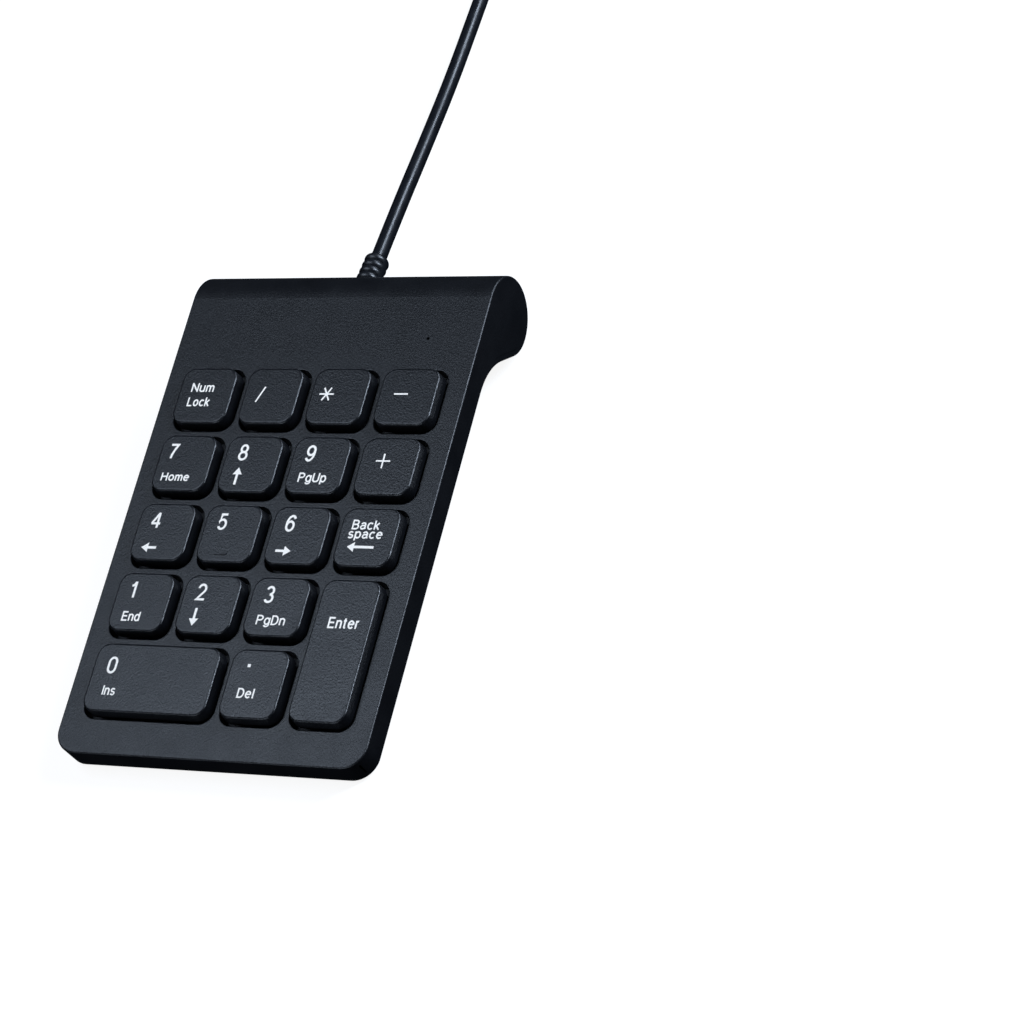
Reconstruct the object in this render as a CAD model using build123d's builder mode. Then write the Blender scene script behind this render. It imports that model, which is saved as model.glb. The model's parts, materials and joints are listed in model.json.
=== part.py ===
from build123d import *
import os
from math import cos, pi, radians, sin, sqrt, tan

# USB numeric keypad: a thin tilted deck with 18 keys and a round bar along its rear edge.
# Millimetres, +Z up, +X to the right, +Y to the rear, standing on Z = 0.
# Deck coordinates (x, v, w): v runs up the slope to the rear, w is normal to the deck, and
# the origin is the middle of the four full key rows, on the deck's top face.

# ---- driving dimensions -------------------------------------------------------------
TILT = 6.8  # slope of the deck, degrees
WIDTH = 85.2
FRONT = -58.1  # v of the front wall
WALL = 1.6
PLATE = 7.1  # thickness of the flat part, outside
ROLL_R = 10.3  # round bar along the rear
ROLL_V = 67.4
HEEL_R = 8.6  # below the bar
KNEE_R = 16.0  # concave step from the flat underside to the bar
STEP_SLOPE = 49.0  # steepest slope of that step, degrees
CORNER_R = 6.0  # front corners, seen from above
EDGE_R = 0.45
FOOT_GAP = 0.8  # case to floor

PITCH = 19.0
KEY_TOP = 15.4  # side of a key's top face
KEY_FLARE = 0.3  # draft: how much wider the skirt is, each side
KEY_CORNER = 3.2
KEY_RISE = 2.66  # key top above the deck
KEY_SKIRT = 0.7  # skirt's lower edge below the deck top
KEY_WALL = 1.1
KEY_ROOF = 1.16
KEY_EDGE = 0.55
FRONT_DEPTH = 17.75  # front row keys are deeper, front to back
OPENING_GAP = 1.0  # key top to opening, each side
OPENING_CORNER = 3.8
OPENING_EDGE = 0.3

GUIDE_TOP = -3.7  # key guide plate
GUIDE_BOTTOM = -5.2
CHIMNEY_TOP = -0.8
STEM = 8.0  # square hollow stem
STEM_BORE = 6.4
STEM_END = -2.6
STEM_GAP = 0.1
PUSHER_R = 1.3
PUSHER_END = -1.9

FILM = 0.1  # each of the three membrane films
FLOOR = -5.5  # inner face of the bottom case
FIELD_HALF = 37.0  # guide plate and films, half width
FIELD_FRONT = -50.3
FIELD_REAR = 47.5
TAIL_HALF = 15.0
TAIL_REAR = 56.0

BOARD_FRONT = 50.6
BOARD_REAR = 63.6
BOARD_HALF = 34.0
BOARD_T = 1.0
LED_SPOT = (28.3, 55.6)
LED_HOLE_R = 0.4

WIRE_R = 0.4  # stabiliser wire
WIRE_ARM = 4.8
WIRE_PIVOT = -2.0
WIRE_TIP = -1.0
WIRE_SLACK = 0.06

RELIEF_X = -0.3
RELIEF_DROOP = 4.0  # strain relief's slope below the horizontal, degrees
RING_R = 3.2  # four rounded rings
RING_LENGTH = 2.05
RING_DEPTH = 0.6
RINGS = 4
SPINE = 1.9  # smooth band along each side of the rings
CABLE_D = 4.05
CABLE_R = CABLE_D / 2

COIL_LIFT = 0.45  # the tie's band is below the turns
COIL_OUT_R = 8 * CABLE_D  # five turns spiral in, and five more spiral out on top of them
COIL_IN_R = 2.7 * CABLE_D
COIL_ENTRY = (-7.0, 213.0)  # where the cable runs into the outer turn, heading +Y

GRIP = (15.8, 24.0, 8.0)  # USB plug's overmoulded grip
SHELL = (12.0, 12.0, 4.5)
BOOT_LENGTH = 9.0

# ---- planes -------------------------------------------------------------------------
SIN_T = sin(radians(TILT))
COS_T = cos(radians(TILT))


def raised(v, w):
    """Height of a deck point above the deck origin's height."""
    return v * SIN_T + w * COS_T


# the lower of the bar's underside and the lower front edge stands FOOT_GAP above the floor
DECK_Z = FOOT_GAP - min(raised(ROLL_V, -ROLL_R) - ROLL_R, raised(FRONT + EDGE_R, -PLATE))
ROLL_BOTTOM = DECK_Z + raised(ROLL_V, -ROLL_R) - ROLL_R
FRONT_Y = (FRONT + EDGE_R) * COS_T + EDGE_R * SIN_T - EDGE_R
REAR_Y = ROLL_V * COS_T + ROLL_R * SIN_T + ROLL_R
DECK_Y = -(FRONT_Y + REAR_Y) / 2

deck = Plane(origin=(0, DECK_Y, DECK_Z), x_dir=(1, 0, 0), z_dir=(0, -SIN_T, COS_T))
side = Plane(origin=(0, DECK_Y, DECK_Z), x_dir=(0, COS_T, SIN_T), z_dir=(1, 0, 0))
NORMAL = Axis(deck.origin, deck.z_dir)
os.makedirs("parts", exist_ok=True)


def deck_point(x, v, w):
    return deck.from_local_coords(Vector(x, v, w))


def cross_plane(x, v, w):
    """A plane across the slope at a deck point: local x is X, local y is the deck normal."""
    return Plane(origin=deck_point(x, v, w), x_dir=(1, 0, 0), z_dir=(0, -COS_T, -SIN_T))


def finish(builder, name):
    builder.part.label = name
    export_step(builder.part, "parts/" + name + ".step")
    print(name, "solids", len(builder.part.solids()), "volume", round(builder.part.volume, 1))


# ---- key table: name, x, v, width, depth ----------------------------------------------
COLUMN = [(i - 1.5) * PITCH for i in range(4)]
ROW = [(2 - i) * PITCH for i in range(4)]
FRONT_ROW_V = ROW[3] - PITCH + KEY_TOP / 2 - FRONT_DEPTH / 2
ENTER_FRONT = FRONT_ROW_V - FRONT_DEPTH / 2
ENTER_DEPTH = ROW[3] + KEY_TOP / 2 - ENTER_FRONT
ENTER_V = ENTER_FRONT + ENTER_DEPTH / 2
ZERO_X = (COLUMN[0] + COLUMN[1]) / 2
ZERO_WIDTH = KEY_TOP + PITCH

ROW_NAMES = [
    ("num_lock", "divide", "multiply", "minus"),
    ("7", "8", "9", "plus"),
    ("4", "5", "6", "backspace"),
    ("1", "2", "3"),
]
keys = []
for row, names in enumerate(ROW_NAMES):
    for column, name in enumerate(names):
        keys.append((name, COLUMN[column], ROW[row], KEY_TOP, KEY_TOP))
keys.append(("enter", COLUMN[3], ENTER_V, KEY_TOP, ENTER_DEPTH))
keys.append(("0", ZERO_X, FRONT_ROW_V, ZERO_WIDTH, FRONT_DEPTH))
keys.append(("decimal", COLUMN[2], FRONT_ROW_V, KEY_TOP, FRONT_DEPTH))

# stabiliser bars of the two large keys: key name, axis of the bar ("v" or "x"), half length
BAR_HALF = 12.0
BAR_OFFSET = 5.6  # bar's distance from the key's centre line


# ---- case -----------------------------------------------------------------------------
def side_outline():
    """The keypad seen from its side, in (v, w)."""
    rise = 2 * ROLL_R - PLATE
    slope = radians(STEP_SLOPE)
    run = (rise - (HEEL_R + KNEE_R) * (1 - cos(slope))) / sin(slope)
    with BuildLine() as outline:
        Line((FRONT, 0), (ROLL_V, 0))
        CenterArc((ROLL_V, -ROLL_R), ROLL_R, 90, -180)
        heel = JernArc((ROLL_V, -2 * ROLL_R), (-1, 0), HEEL_R, -STEP_SLOPE)
        slant = Line(heel @ 1, heel @ 1 + run * (heel % 1))
        knee = JernArc(slant @ 1, slant % 1, KNEE_R, STEP_SLOPE)
        Line(knee @ 1, (FRONT, -PLATE))
        Line((FRONT, -PLATE), (FRONT, 0))
    return outline.line


with BuildSketch() as profile:
    with BuildLine():
        add(side_outline())
    make_face()

with BuildSketch() as hollow:
    add(profile.sketch)
    offset(amount=-WALL, kind=Kind.INTERSECTION, mode=Mode.REPLACE)

with BuildPart() as envelope:
    with BuildSketch(side):
        add(profile.sketch)
    extrude(amount=WIDTH / 2, both=True)
    front_posts = envelope.edges().filter_by(NORMAL).group_by(SortBy.LENGTH)[-1]
    fillet(front_posts, CORNER_R)
    left_loop = envelope.faces().sort_by(Axis.X)[0].edges()
    right_loop = envelope.faces().sort_by(Axis.X)[-1].edges()
    fillet(left_loop + right_loop, EDGE_R)


def bottom_zone():
    """Everything in (v, w) that is below the parting line."""
    with BuildSketch() as zone:
        with BuildLine():
            Polyline(
                (FRONT - 1, -PLATE + WALL),
                (FIELD_REAR, -PLATE + WALL),
                (ROLL_V, -ROLL_R),
                (ROLL_V + ROLL_R + 1, -ROLL_R),
                (ROLL_V + ROLL_R + 1, -2 * ROLL_R - 1),
                (FRONT - 1, -2 * ROLL_R - 1),
                close=True,
            )
        make_face()
        add(hollow.sketch, mode=Mode.SUBTRACT)
    return zone.sketch


CASE_SCREWS = [(s * x, v) for s in (-1, 1) for (x, v) in ((31.0, -53.4), (39.3, -4.0), (39.3, 38.0))]
CASE_BOSS_R = 1.9
SCREW_R = 0.95
PILOT_R = SCREW_R  # the thread cuts its own way
HEAD_R = 1.8
HEAD_T = 0.9
CASE_SCREW_LENGTH = 3.4
BOARD_SCREW_LENGTH = 4.4
BOARD_SCREWS = [(-19.0, 53.6), (19.0, 53.6)]
BOARD_BOSS_R = 2.6
SEAM = 0.1  # the bottom shell is this much narrower each side
PARTING_GAP = 0.15
relief_plane = Plane(
    origin=deck_point(RELIEF_X, ROLL_V + ROLL_R - WALL, -ROLL_R),
    x_dir=(1, 0, 0),
    z_dir=(0, cos(radians(RELIEF_DROOP)), -sin(radians(RELIEF_DROOP))),
)
RELIEF_SEAT_R = RING_R + 0.1
RELIEF_HOLE_R = 2.5  # neck that sits in the wall


def key_openings():
    for _, x, v, width, depth in keys:
        with Locations((x, v)):
            RectangleRounded(width + 2 * OPENING_GAP, depth + 2 * OPENING_GAP, OPENING_CORNER)


with BuildPart() as top_case:
    add(envelope.part)
    with BuildSketch(side):
        add(bottom_zone())
    extrude(amount=WIDTH, both=True, mode=Mode.SUBTRACT)
    with BuildSketch(side):
        add(hollow.sketch)
    extrude(amount=WIDTH / 2 - WALL, both=True, mode=Mode.SUBTRACT)
    # a thin gap that shows as the parting line along the bar
    with BuildSketch(side):
        with Locations((ROLL_V + ROLL_R, -ROLL_R + PARTING_GAP / 2)):
            Rectangle(2 * WALL + 1, PARTING_GAP)
    extrude(amount=WIDTH, both=True, mode=Mode.SUBTRACT)
    # deep collar round the key openings
    with BuildSketch(deck.offset(GUIDE_TOP)):
        with Locations((0, (FIELD_FRONT + FIELD_REAR) / 2)):
            Rectangle(2 * FIELD_HALF + 1.6, FIELD_REAR - FIELD_FRONT)
    extrude(amount=-GUIDE_TOP - WALL + 0.1)
    # screw bosses
    with BuildSketch(deck.offset(FLOOR)):
        with Locations(*CASE_SCREWS):
            Circle(CASE_BOSS_R)
    extrude(amount=-FLOOR - WALL + 0.1)
    with BuildSketch(deck.offset(GUIDE_TOP - 0.1)):
        key_openings()
    extrude(amount=-GUIDE_TOP + 0.2, mode=Mode.SUBTRACT)
    deck_face = top_case.faces().sort_by(NORMAL)[-1]
    fillet(deck_face.inner_wires().edges(), OPENING_EDGE)
    with BuildSketch(deck.offset(FLOOR)):
        with Locations(*CASE_SCREWS):
            Circle(PILOT_R)
    extrude(amount=CASE_SCREW_LENGTH - 0.2, mode=Mode.SUBTRACT)
    with BuildSketch(deck.offset(-WALL - 0.1)):
        with Locations(LED_SPOT):
            Circle(LED_HOLE_R)
    extrude(amount=WALL + 0.2, mode=Mode.SUBTRACT)
    with BuildSketch(relief_plane.offset(-3)):
        Circle(RELIEF_HOLE_R)
    extrude(amount=8, mode=Mode.SUBTRACT)
    with BuildSketch(relief_plane.offset(WALL)):
        Circle(RELIEF_SEAT_R)
    extrude(amount=3, mode=Mode.SUBTRACT)
finish(top_case, "top_case")


# ---- rubber feet: flat on the floor, set into the underside ------------------------------
FOOT_R = 4.0
FRONT_FEET = [(-33.0, -47.0), (33.0, -47.0)]
FOOT_RECESS = 0.6
REAR_FOOT_X = 27.0
REAR_FOOT = (16.0, 5.0)
REAR_FOOT_TOP = ROLL_BOTTOM + 0.7  # reaches into the curved underside of the bar
roll_y = deck_point(0, ROLL_V, -ROLL_R).Y


def feet_solids(grow=0.0):
    """Front pads end on the slope in their recess, rear pads are flat on top."""
    with BuildPart() as feet:
        with BuildSketch(Plane.XY):
            for x, v in FRONT_FEET:
                with Locations((x, deck_point(x, v, -PLATE).Y)):
                    Circle(FOOT_R + grow)
        extrude(amount=6)
        split(bisect_by=deck.offset(-PLATE + FOOT_RECESS), keep=Keep.BOTTOM)
        with BuildSketch(Plane.XY):
            with Locations((-REAR_FOOT_X, roll_y), (REAR_FOOT_X, roll_y)):
                SlotOverall(REAR_FOOT[0] + 2 * grow, REAR_FOOT[1] + 2 * grow)
        extrude(amount=REAR_FOOT_TOP)
    return feet.part


with BuildPart() as rubber_feet:
    add(feet_solids())
finish(rubber_feet, "rubber_feet")

with BuildPart() as bottom_case:
    with BuildSketch(side):
        add(bottom_zone())
    extrude(amount=WIDTH / 2 - SEAM, both=True)
    with BuildSketch(deck.offset(FLOOR - BOARD_T)):
        with Locations(*BOARD_SCREWS):
            Circle(BOARD_BOSS_R)
    extrude(amount=-6)
    add(envelope.part, mode=Mode.INTERSECT)
    # countersunk seats and clearance holes for the case screws
    with BuildSketch(deck.offset(-PLATE - 0.1)):
        with Locations(*CASE_SCREWS):
            Circle(HEAD_R + 0.15)
    extrude(amount=1.1, mode=Mode.SUBTRACT)
    with BuildSketch(deck.offset(-PLATE)):
        with Locations(*CASE_SCREWS):
            Circle(SCREW_R + 0.1)
    extrude(amount=WALL + 0.1, mode=Mode.SUBTRACT)
    with BuildSketch(deck.offset(FLOOR - BOARD_T + 0.1)):
        with Locations(*BOARD_SCREWS):
            Circle(PILOT_R)
    extrude(amount=-2.1, mode=Mode.SUBTRACT)
    with BuildSketch(relief_plane.offset(-3)):
        Circle(RELIEF_HOLE_R)
    extrude(amount=8, mode=Mode.SUBTRACT)
    with BuildSketch(relief_plane.offset(WALL)):
        Circle(RELIEF_SEAT_R)
    extrude(amount=3, mode=Mode.SUBTRACT)
    add(feet_solids(), mode=Mode.SUBTRACT)
finish(bottom_case, "bottom_case")


# ---- screws -----------------------------------------------------------------------------
def screw_group(name, spots, head_w, direction, length):
    """Pan-head screws: the head starts at w = head_w, the thread runs along direction."""
    with BuildPart() as screws:
        with BuildSketch(deck.offset(head_w)):
            with Locations(*spots):
                Circle(HEAD_R)
        extrude(amount=-direction * HEAD_T)
        with BuildSketch(deck.offset(head_w)):
            with Locations(*spots):
                Circle(SCREW_R)
        extrude(amount=direction * (length - 0.4))
        with BuildSketch(deck.offset(head_w - direction * HEAD_T)):
            with Locations(*spots):
                Rectangle(2.0, 0.45)
                Rectangle(0.45, 2.0)
        extrude(amount=direction * 0.5, mode=Mode.SUBTRACT)
    finish(screws, name)


screw_group("case_screws", CASE_SCREWS, -PLATE + 1.0, 1, CASE_SCREW_LENGTH)


# ---- keycaps ------------------------------------------------------------------------------
def key_outline(level, x, v, width, depth, grow, corner):
    with BuildSketch(deck.offset(level)) as outline:
        with Locations((x, v)):
            RectangleRounded(width + 2 * grow, depth + 2 * grow, corner)
    return outline.sketch


HOMING = (3.4, 0.5, 0.28)  # raised bar on the 5 key
HOMING_SPOT = (-0.7, -5.5)
CLIP = (1.9, 2.2)  # stabiliser clip under a large key: along the bar, across it
CLIP_LIP = 0.35


def stabiliser_frame(name):
    """Local plane of a large key's stabiliser: local x runs along the bar."""
    key = next(k for k in keys if k[0] == name)
    centre = deck_point(key[1], key[2], 0)
    along = deck.y_dir if name == "enter" else deck.x_dir
    return Plane(origin=centre, x_dir=along, z_dir=deck.z_dir)


def make_keycap(name, x, v, width, depth):
    roof = KEY_RISE - KEY_ROOF
    inner = KEY_FLARE - KEY_WALL
    with BuildPart() as cap:
        skirt = key_outline(-KEY_SKIRT, x, v, width, depth, KEY_FLARE, KEY_CORNER + KEY_FLARE)
        top = key_outline(KEY_RISE, x, v, width, depth, 0, KEY_CORNER)
        loft(sections=[skirt, top])
        fillet(cap.faces().sort_by(NORMAL)[-1].edges(), KEY_EDGE)
        mouth = key_outline(-KEY_SKIRT - 0.01, x, v, width, depth, inner, KEY_CORNER + inner)
        ceiling = key_outline(roof, x, v, width, depth, -KEY_WALL, KEY_CORNER - KEY_WALL)
        loft(sections=[mouth, ceiling], mode=Mode.SUBTRACT)
        with BuildSketch(deck.offset(STEM_END)):
            with Locations((x, v)):
                RectangleRounded(STEM, STEM, 1.0)
                RectangleRounded(STEM_BORE, STEM_BORE, 0.6, mode=Mode.SUBTRACT)
        extrude(amount=roof - STEM_END + 0.1)
        with BuildSketch(deck.offset(PUSHER_END)):
            with Locations((x, v)):
                Circle(PUSHER_R)
        extrude(amount=roof - PUSHER_END + 0.1)
        if name == "5":
            with BuildSketch(deck.offset(KEY_RISE - 0.05)):
                with Locations((x + HOMING_SPOT[0], v + HOMING_SPOT[1])):
                    SlotOverall(HOMING[0], HOMING[1])
            extrude(amount=HOMING[2] + 0.05)
        if name in ("enter", "0"):
            frame = stabiliser_frame(name)
            clip_y = BAR_OFFSET - WIRE_ARM
            slot_half = WIRE_R + WIRE_SLACK
            for end in (-1, 1):
                with BuildSketch(frame.offset(WIRE_TIP - slot_half - CLIP_LIP)):
                    with Locations((end * (BAR_HALF - CLIP[0] / 2 - 1.2), clip_y)):
                        Rectangle(CLIP[0], CLIP[1])
                extrude(amount=roof - WIRE_TIP + slot_half + CLIP_LIP + 0.1)
                with BuildSketch(frame.offset(WIRE_TIP - slot_half)):
                    with Locations((end * (BAR_HALF - CLIP[0] / 2 - 1.2), clip_y + 0.45)):
                        Rectangle(CLIP[0] + 0.2, CLIP[1])
                extrude(amount=2 * slot_half, mode=Mode.SUBTRACT)
    finish(cap, "key_" + name)


for key in keys:
    make_keycap(*key)


# ---- stabiliser wires ------------------------------------------------------------------------
def make_stabiliser(name):
    """A bar that turns in the guide plate, with two arms whose tips lift with the key."""
    frame = stabiliser_frame(name)
    reach = sqrt(WIRE_ARM**2 - (WIRE_TIP - WIRE_PIVOT) ** 2)
    tip_y = BAR_OFFSET - reach
    tip_x = BAR_HALF - 3.0
    path_points = [
        (-tip_x, tip_y, WIRE_TIP),
        (-BAR_HALF, tip_y, WIRE_TIP),
        (-BAR_HALF, BAR_OFFSET, WIRE_PIVOT),
        (BAR_HALF, BAR_OFFSET, WIRE_PIVOT),
        (BAR_HALF, tip_y, WIRE_TIP),
        (tip_x, tip_y, WIRE_TIP),
    ]
    world = [frame.from_local_coords(Vector(*p)) for p in path_points]
    with BuildPart() as wire:
        with BuildLine() as path:
            FilletPolyline(*world, radius=0.7)
        with BuildSketch(Plane(origin=world[0], z_dir=path.line % 0)):
            Circle(WIRE_R)
        sweep()
    finish(wire, "stabiliser_" + ("zero" if name == "0" else name))


for large in ("enter", "0"):
    make_stabiliser(large)

# ---- key guide plate ----------------------------------------------------------------------------
CHIMNEY_WALL = 0.9
hole_side = STEM + 2 * STEM_GAP
with BuildPart() as key_guide:
    with BuildSketch(deck.offset(GUIDE_BOTTOM)):
        with Locations((0, (FIELD_FRONT + FIELD_REAR) / 2)):
            Rectangle(2 * FIELD_HALF, FIELD_REAR - FIELD_FRONT)
    extrude(amount=GUIDE_TOP - GUIDE_BOTTOM)
    with BuildSketch(deck.offset(GUIDE_TOP)):
        for _, x, v, _, _ in keys:
            with Locations((x, v)):
                RectangleRounded(hole_side + 2 * CHIMNEY_WALL, hole_side + 2 * CHIMNEY_WALL, 1.8)
    extrude(amount=CHIMNEY_TOP - GUIDE_TOP)
    for large in ("enter", "0"):
        frame = stabiliser_frame(large)
        # two clips that hold the bar down, and a window below each arm and key clip
        with BuildSketch(frame.offset(GUIDE_TOP)):
            with Locations((-BAR_HALF + 4.6, BAR_OFFSET), (BAR_HALF - 4.6, BAR_OFFSET)):
                Rectangle(1.8, 1.6)
        extrude(amount=WIRE_PIVOT + WIRE_R + 0.5 - GUIDE_TOP)
        with BuildSketch(frame.offset(WIRE_PIVOT - WIRE_R - 0.08)):
            with Locations((-BAR_HALF + 4.6, BAR_OFFSET + 0.5), (BAR_HALF - 4.6, BAR_OFFSET + 0.5)):
                Rectangle(2.0, 2 * (WIRE_R + 0.08 + 0.5))
        extrude(amount=2 * (WIRE_R + 0.08), mode=Mode.SUBTRACT)
        with BuildSketch(frame.offset(GUIDE_BOTTOM - 0.1)):
            for end in (-1, 1):
                with Locations((end * (BAR_HALF - 1.4), BAR_OFFSET - WIRE_ARM / 2 - 0.6)):
                    Rectangle(4.4, WIRE_ARM + 2.2)
        extrude(amount=GUIDE_TOP - GUIDE_BOTTOM + 0.2, mode=Mode.SUBTRACT)
    with BuildSketch(deck.offset(GUIDE_BOTTOM - 0.1)):
        for _, x, v, _, _ in keys:
            with Locations((x, v)):
                RectangleRounded(hole_side, hole_side, 1.0)
    extrude(amount=CHIMNEY_TOP - GUIDE_BOTTOM + 0.2, mode=Mode.SUBTRACT)
finish(key_guide, "key_guide")


# ---- membrane ----------------------------------------------------------------------------------
def make_film(name, level, windows):
    with BuildPart() as film:
        with BuildSketch(deck.offset(level)):
            with Locations((0, (FIELD_FRONT + FIELD_REAR) / 2)):
                Rectangle(2 * FIELD_HALF, FIELD_REAR - FIELD_FRONT)
            with Locations((0, (FIELD_REAR + TAIL_REAR) / 2 - 0.5)):
                Rectangle(2 * TAIL_HALF, TAIL_REAR - FIELD_REAR + 1)
            if windows:
                for _, x, v, _, _ in keys:
                    with Locations((x, v)):
                        Circle(2.2, mode=Mode.SUBTRACT)
        extrude(amount=FILM)
    finish(film, name)


make_film("membrane_lower", FLOOR, False)
make_film("membrane_spacer", FLOOR + FILM, True)
make_film("membrane_upper", FLOOR + 2 * FILM, False)
FILM_TOP = FLOOR + 3 * FILM


# ---- rubber domes --------------------------------------------------------------------------------
def make_dome(name, x, v):
    height = PUSHER_END - FILM_TOP
    flange = 0.3
    skin = 0.35
    base = cross_plane(x, v, FILM_TOP)
    with BuildPart() as dome:
        with BuildSketch(base):
            with BuildLine():
                Polyline(
                    (0, height),
                    (1.5, height),
                    (1.6, height - 0.5),
                    (2.5, flange + 0.3),
                    (2.9, flange),
                    (2.9, 0),
                    (2.5, 0),
                    (1.6 - skin, height - 0.9),
                    (0.8, height - 0.9),
                    (0.8, height - 1.5),
                    (0, height - 1.5),
                    close=True,
                )
            make_face()
        revolve(axis=Axis(base.origin, deck.z_dir))
    finish(dome, "dome_" + name)


for name, x, v, _, _ in keys:
    make_dome(name, x, v)

# ---- circuit board, its components and the clamp on the membrane tail ------------------------------
BOARD_MID = (BOARD_FRONT + BOARD_REAR) / 2
with BuildPart() as circuit_board:
    with BuildSketch(deck.offset(FLOOR - BOARD_T)):
        with Locations((0, BOARD_MID)):
            Rectangle(2 * BOARD_HALF, BOARD_REAR - BOARD_FRONT)
        with Locations(*BOARD_SCREWS):
            Circle(SCREW_R + 0.1, mode=Mode.SUBTRACT)
    extrude(amount=BOARD_T)
finish(circuit_board, "circuit_board")

COMPONENTS = [
    (-24.5, 59.5, 6.0, 5.0, 1.4),
    (-30.5, 59.5, 1.6, 0.8, 0.6),
    (-30.5, 57.0, 1.6, 0.8, 0.6),
    (22.5, 61.0, 1.6, 0.8, 0.6),
    (25.5, 61.0, 1.6, 0.8, 0.6),
    (-18.5, 61.0, 2.0, 1.2, 0.9),
]
with BuildPart() as board_components:
    for x, v, length, breadth, tall in COMPONENTS:
        with BuildSketch(deck.offset(FLOOR)):
            with Locations((x, v)):
                Rectangle(length, breadth)
        extrude(amount=tall)
finish(board_components, "board_components")

with BuildPart() as status_led:
    with BuildSketch(deck.offset(FLOOR)):
        with Locations(LED_SPOT):
            Rectangle(2.4, 1.8)
    extrude(amount=0.8)
    with BuildSketch(deck.offset(FLOOR + 0.8)):
        with Locations(LED_SPOT):
            Circle(0.75)
    extrude(amount=2.2)
finish(status_led, "status_led")

PAD_T = 0.5
BAR_V = BOARD_SCREWS[0][1]
BAR_TOP = FILM_TOP + PAD_T + 0.8
with BuildPart() as tail_pad:
    with BuildSketch(deck.offset(FILM_TOP)):
        with Locations((0, BAR_V)):
            Rectangle(2 * TAIL_HALF, 2.6)
    extrude(amount=PAD_T)
finish(tail_pad, "tail_pad")

with BuildPart() as pressure_bar:
    with BuildSketch(deck.offset(FILM_TOP + PAD_T)):
        with Locations((0, BAR_V)):
            RectangleRounded(45, 4.6, 1.0)
        with Locations(*BOARD_SCREWS):
            Circle(SCREW_R + 0.1, mode=Mode.SUBTRACT)
    extrude(amount=0.8)
finish(pressure_bar, "pressure_bar")
screw_group("board_screws", BOARD_SCREWS, BAR_TOP, -1, BOARD_SCREW_LENGTH)

# ---- strain relief: a collar inside the wall, a neck through it, four soft rings outside -------------
GROOVE_R = RING_R - RING_DEPTH
COLLAR_R = 3.5
COLLAR_FACE = 1.4  # inward of the wall, which curves away above and below
COLLAR_BACK = 2.6
with BuildPart() as strain_relief:
    with BuildSketch(Plane(origin=relief_plane.origin, x_dir=(1, 0, 0), z_dir=relief_plane.y_dir)):
        with BuildLine():
            Polyline(
                (CABLE_R, COLLAR_BACK),
                (COLLAR_R, COLLAR_BACK),
                (COLLAR_R, COLLAR_FACE),
                (RELIEF_HOLE_R, COLLAR_FACE),
                (RELIEF_HOLE_R, -WALL),
                (GROOVE_R, -WALL),
            )
            for ring in range(RINGS):
                ring_top = -WALL - ring * RING_LENGTH
                ring_end = ring_top - RING_LENGTH
                ThreePointArc((GROOVE_R, ring_top), (RING_R, ring_top - RING_LENGTH / 2), (GROOVE_R, ring_end))
            tip = ring_end - 0.2
            Polyline((GROOVE_R, ring_end), (CABLE_R, tip), (CABLE_R, COLLAR_BACK))
        make_face()
    revolve(axis=Axis(relief_plane.origin, relief_plane.z_dir))
    with BuildSketch(relief_plane.offset(WALL)):
        Circle(RING_R - 0.05)
        Rectangle(2 * RING_R, SPINE, mode=Mode.INTERSECT)
        Circle(CABLE_R, mode=Mode.SUBTRACT)
    extrude(amount=(RINGS - 0.5) * RING_LENGTH)
    RELIEF_TIP = -tip
finish(strain_relief, "strain_relief")

# ---- leads from the cable to the board ---------------------------------------------------------------
LEAD_R = 0.45
with BuildPart() as cable_leads:
    for i in range(4):
        offset_x = (i - 1.5) * 1.3
        spread_x = (i - 1.5) * 2.4
        inlet = relief_plane.from_local_coords(Vector((i - 1.5) * 0.92, 0, -COLLAR_BACK))
        points = [
            inlet,
            deck_point(offset_x, 72.0, -9.6),
            deck_point(spread_x, 66.5, -6.6),
            deck_point(spread_x, 62.2, FLOOR - BOARD_T - 1.7),
            deck_point(spread_x, 62.2, FLOOR - BOARD_T),
        ]
        with BuildLine() as lead_path:
            FilletPolyline(*points, radius=0.8)
        with BuildSketch(Plane(origin=points[0], z_dir=lead_path.line % 0)):
            Circle(LEAD_R)
        sweep(path=lead_path.line)
finish(cable_leads, "cable_leads")

# ---- cable ------------------------------------------------------------------------------------------
tip_point = relief_plane.from_local_coords(Vector(0, 0, RELIEF_TIP))
LAY_Z = CABLE_R
lead_route = [
    (tip_point.X, tip_point.Y, tip_point.Z),
    (-1.15, tip_point.Y + 17, tip_point.Z - 1.5),
    (-3.05, tip_point.Y + 41, 7.6),
    (-5.35, tip_point.Y + 66, 3.6),
    (-6.7, tip_point.Y + 90, LAY_Z + 0.1),
    (-7.1, tip_point.Y + 111, LAY_Z),
    (COIL_ENTRY[0], COIL_ENTRY[1] - 1, LAY_Z + COIL_LIFT),
]
COIL_TOP_Z = COIL_LIFT + 3 * CABLE_R
tail_route = [
    (COIL_ENTRY[0], COIL_ENTRY[1] + 1, COIL_TOP_Z),
    (COIL_ENTRY[0] + 0.2, COIL_ENTRY[1] + 10, COIL_TOP_Z - 0.6),
    (COIL_ENTRY[0] + 0.5, COIL_ENTRY[1] + 19, GRIP[2] / 2),
    (COIL_ENTRY[0] + 0.5, COIL_ENTRY[1] + 28, GRIP[2] / 2),
]


def corner_radii(points):
    """Arcs as large as the runs beside each corner allow."""
    radii = []
    for before, corner, after in zip(points, points[1:], points[2:]):
        run_in = Vector(*corner) - Vector(*before)
        run_out = Vector(*after) - Vector(*corner)
        half_turn = radians(run_in.get_angle(run_out)) / 2
        radii.append(0.45 * min(run_in.length, run_out.length) / tan(half_turn))
    return radii


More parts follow.
